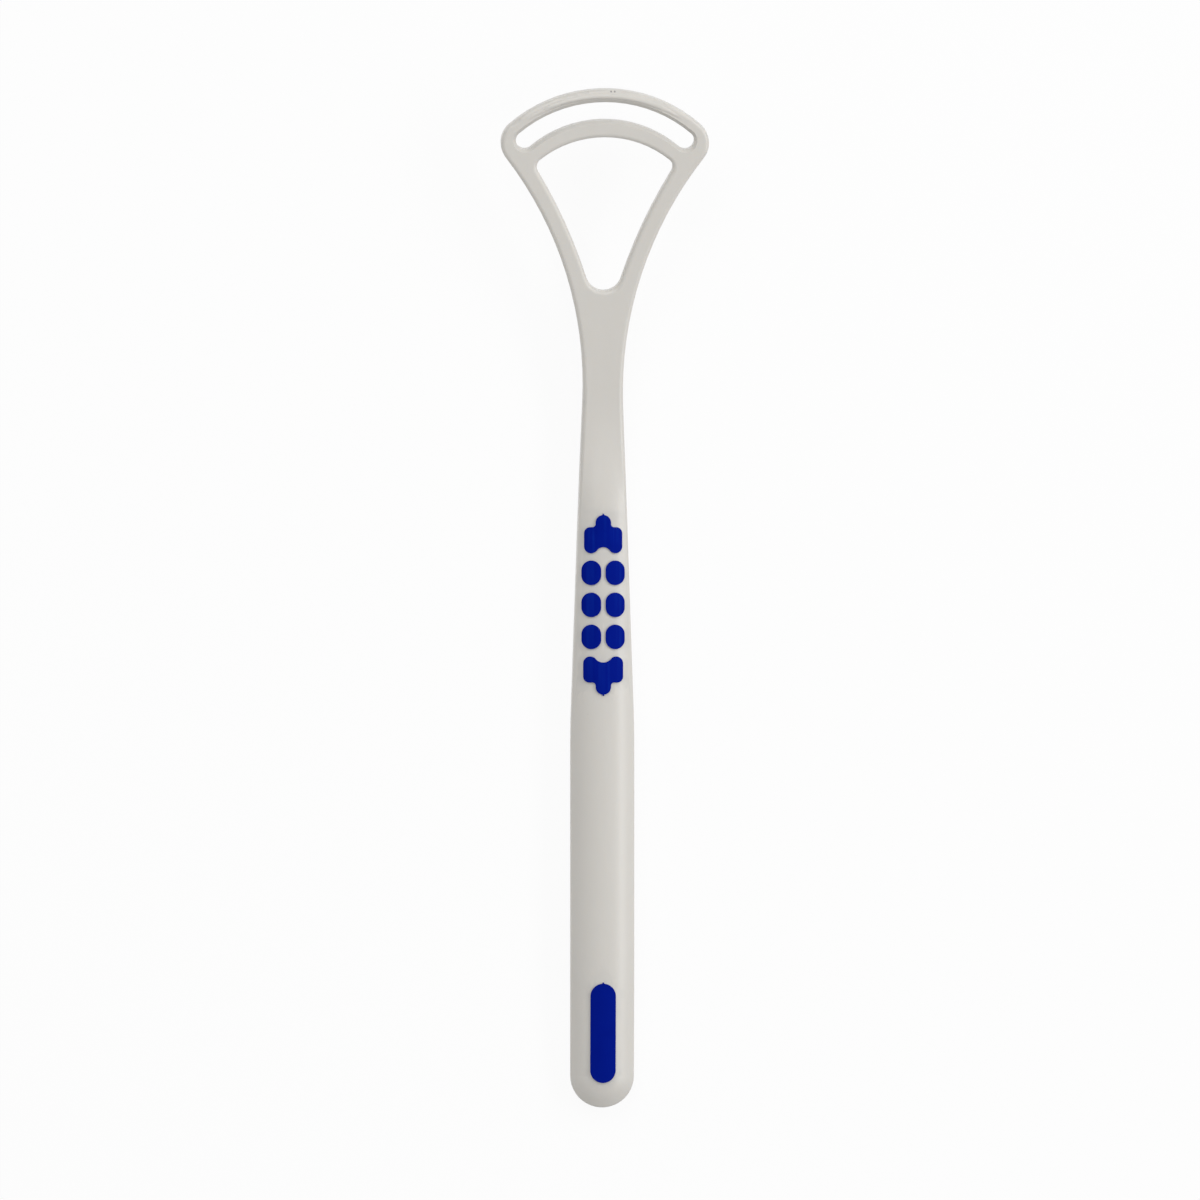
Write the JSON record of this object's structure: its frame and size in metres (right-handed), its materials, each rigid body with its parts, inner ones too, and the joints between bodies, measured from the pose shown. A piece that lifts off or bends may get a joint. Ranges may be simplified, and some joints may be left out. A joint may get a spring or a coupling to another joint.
{
  "type": "tongue scraper",
  "caption": "Slim moulded tongue scraper: a crowned handle with soft grip inlays narrows to a neck and widens into an open fan-shaped head with two curved bars.",
  "frame": {"origin": "middle of the footprint, on the plane that the handle's flat back rests on", "axes": "+Y from the tail of the handle to the scraping head, +Z out of the front with the inlays, +X to the right seen from the front with the head up"},
  "size_m": [0.0342, 0.168, 0.0139],
  "materials": {
    "white_plastic": "satin moulded polypropylene, warm white",
    "blue_soft_plastic": "matt soft thermoplastic elastomer, deep blue"
  },
  "bodies": {
    "root": {"scraper_body": "white_plastic", "upper_left_dot": "blue_soft_plastic", "upper_right_dot": "blue_soft_plastic", "middle_left_dot": "blue_soft_plastic", "middle_right_dot": "blue_soft_plastic", "lower_left_dot": "blue_soft_plastic", "lower_right_dot": "blue_soft_plastic", "upper_arrow": "blue_soft_plastic", "lower_arrow": "blue_soft_plastic", "tail_pad": "blue_soft_plastic"}
  },
  "joints": []
}
